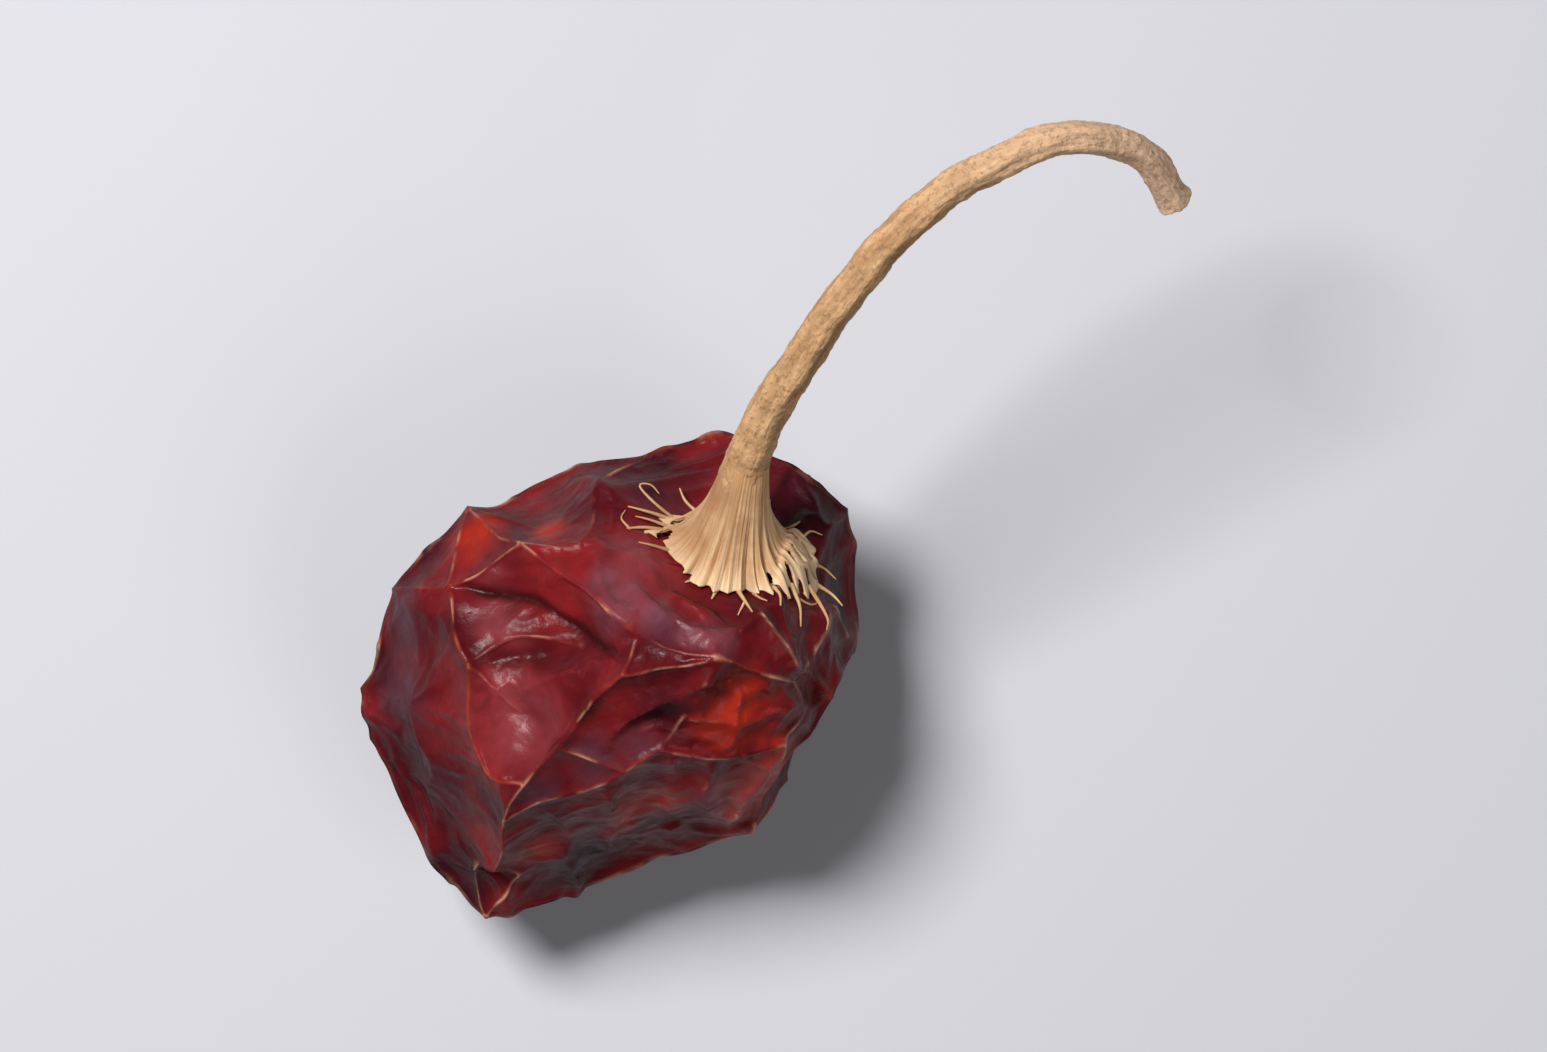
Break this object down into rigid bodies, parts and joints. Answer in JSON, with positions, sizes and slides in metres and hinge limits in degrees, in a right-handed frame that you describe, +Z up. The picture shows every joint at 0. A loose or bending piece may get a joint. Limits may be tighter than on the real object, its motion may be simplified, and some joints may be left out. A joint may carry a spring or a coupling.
{
  "type": "dried chilli pepper",
  "caption": "Small round dried chilli pepper with a crumpled, ridged red pod, a frayed calyx and a long arched stalk, lying as it fell.",
  "frame": {"origin": "middle of the flat patch under the pod that it rests on", "axes": "+Z up from the resting surface; +X along the longest extent, from the pod's blunt side to the stalk's hooked end; +Y the way the stalk leaves the pod"},
  "size_m": [0.0355, 0.0338, 0.0239],
  "materials": {
    "pod_skin": "dried, leathery, semi-gloss",
    "calyx_husk": "dry, papery, matte",
    "stalk_fibre": "dry, fibrous, matte"
  },
  "bodies": {
    "root": {"pod": "pod_skin", "calyx": "calyx_husk", "stalk": "stalk_fibre"}
  },
  "joints": []
}
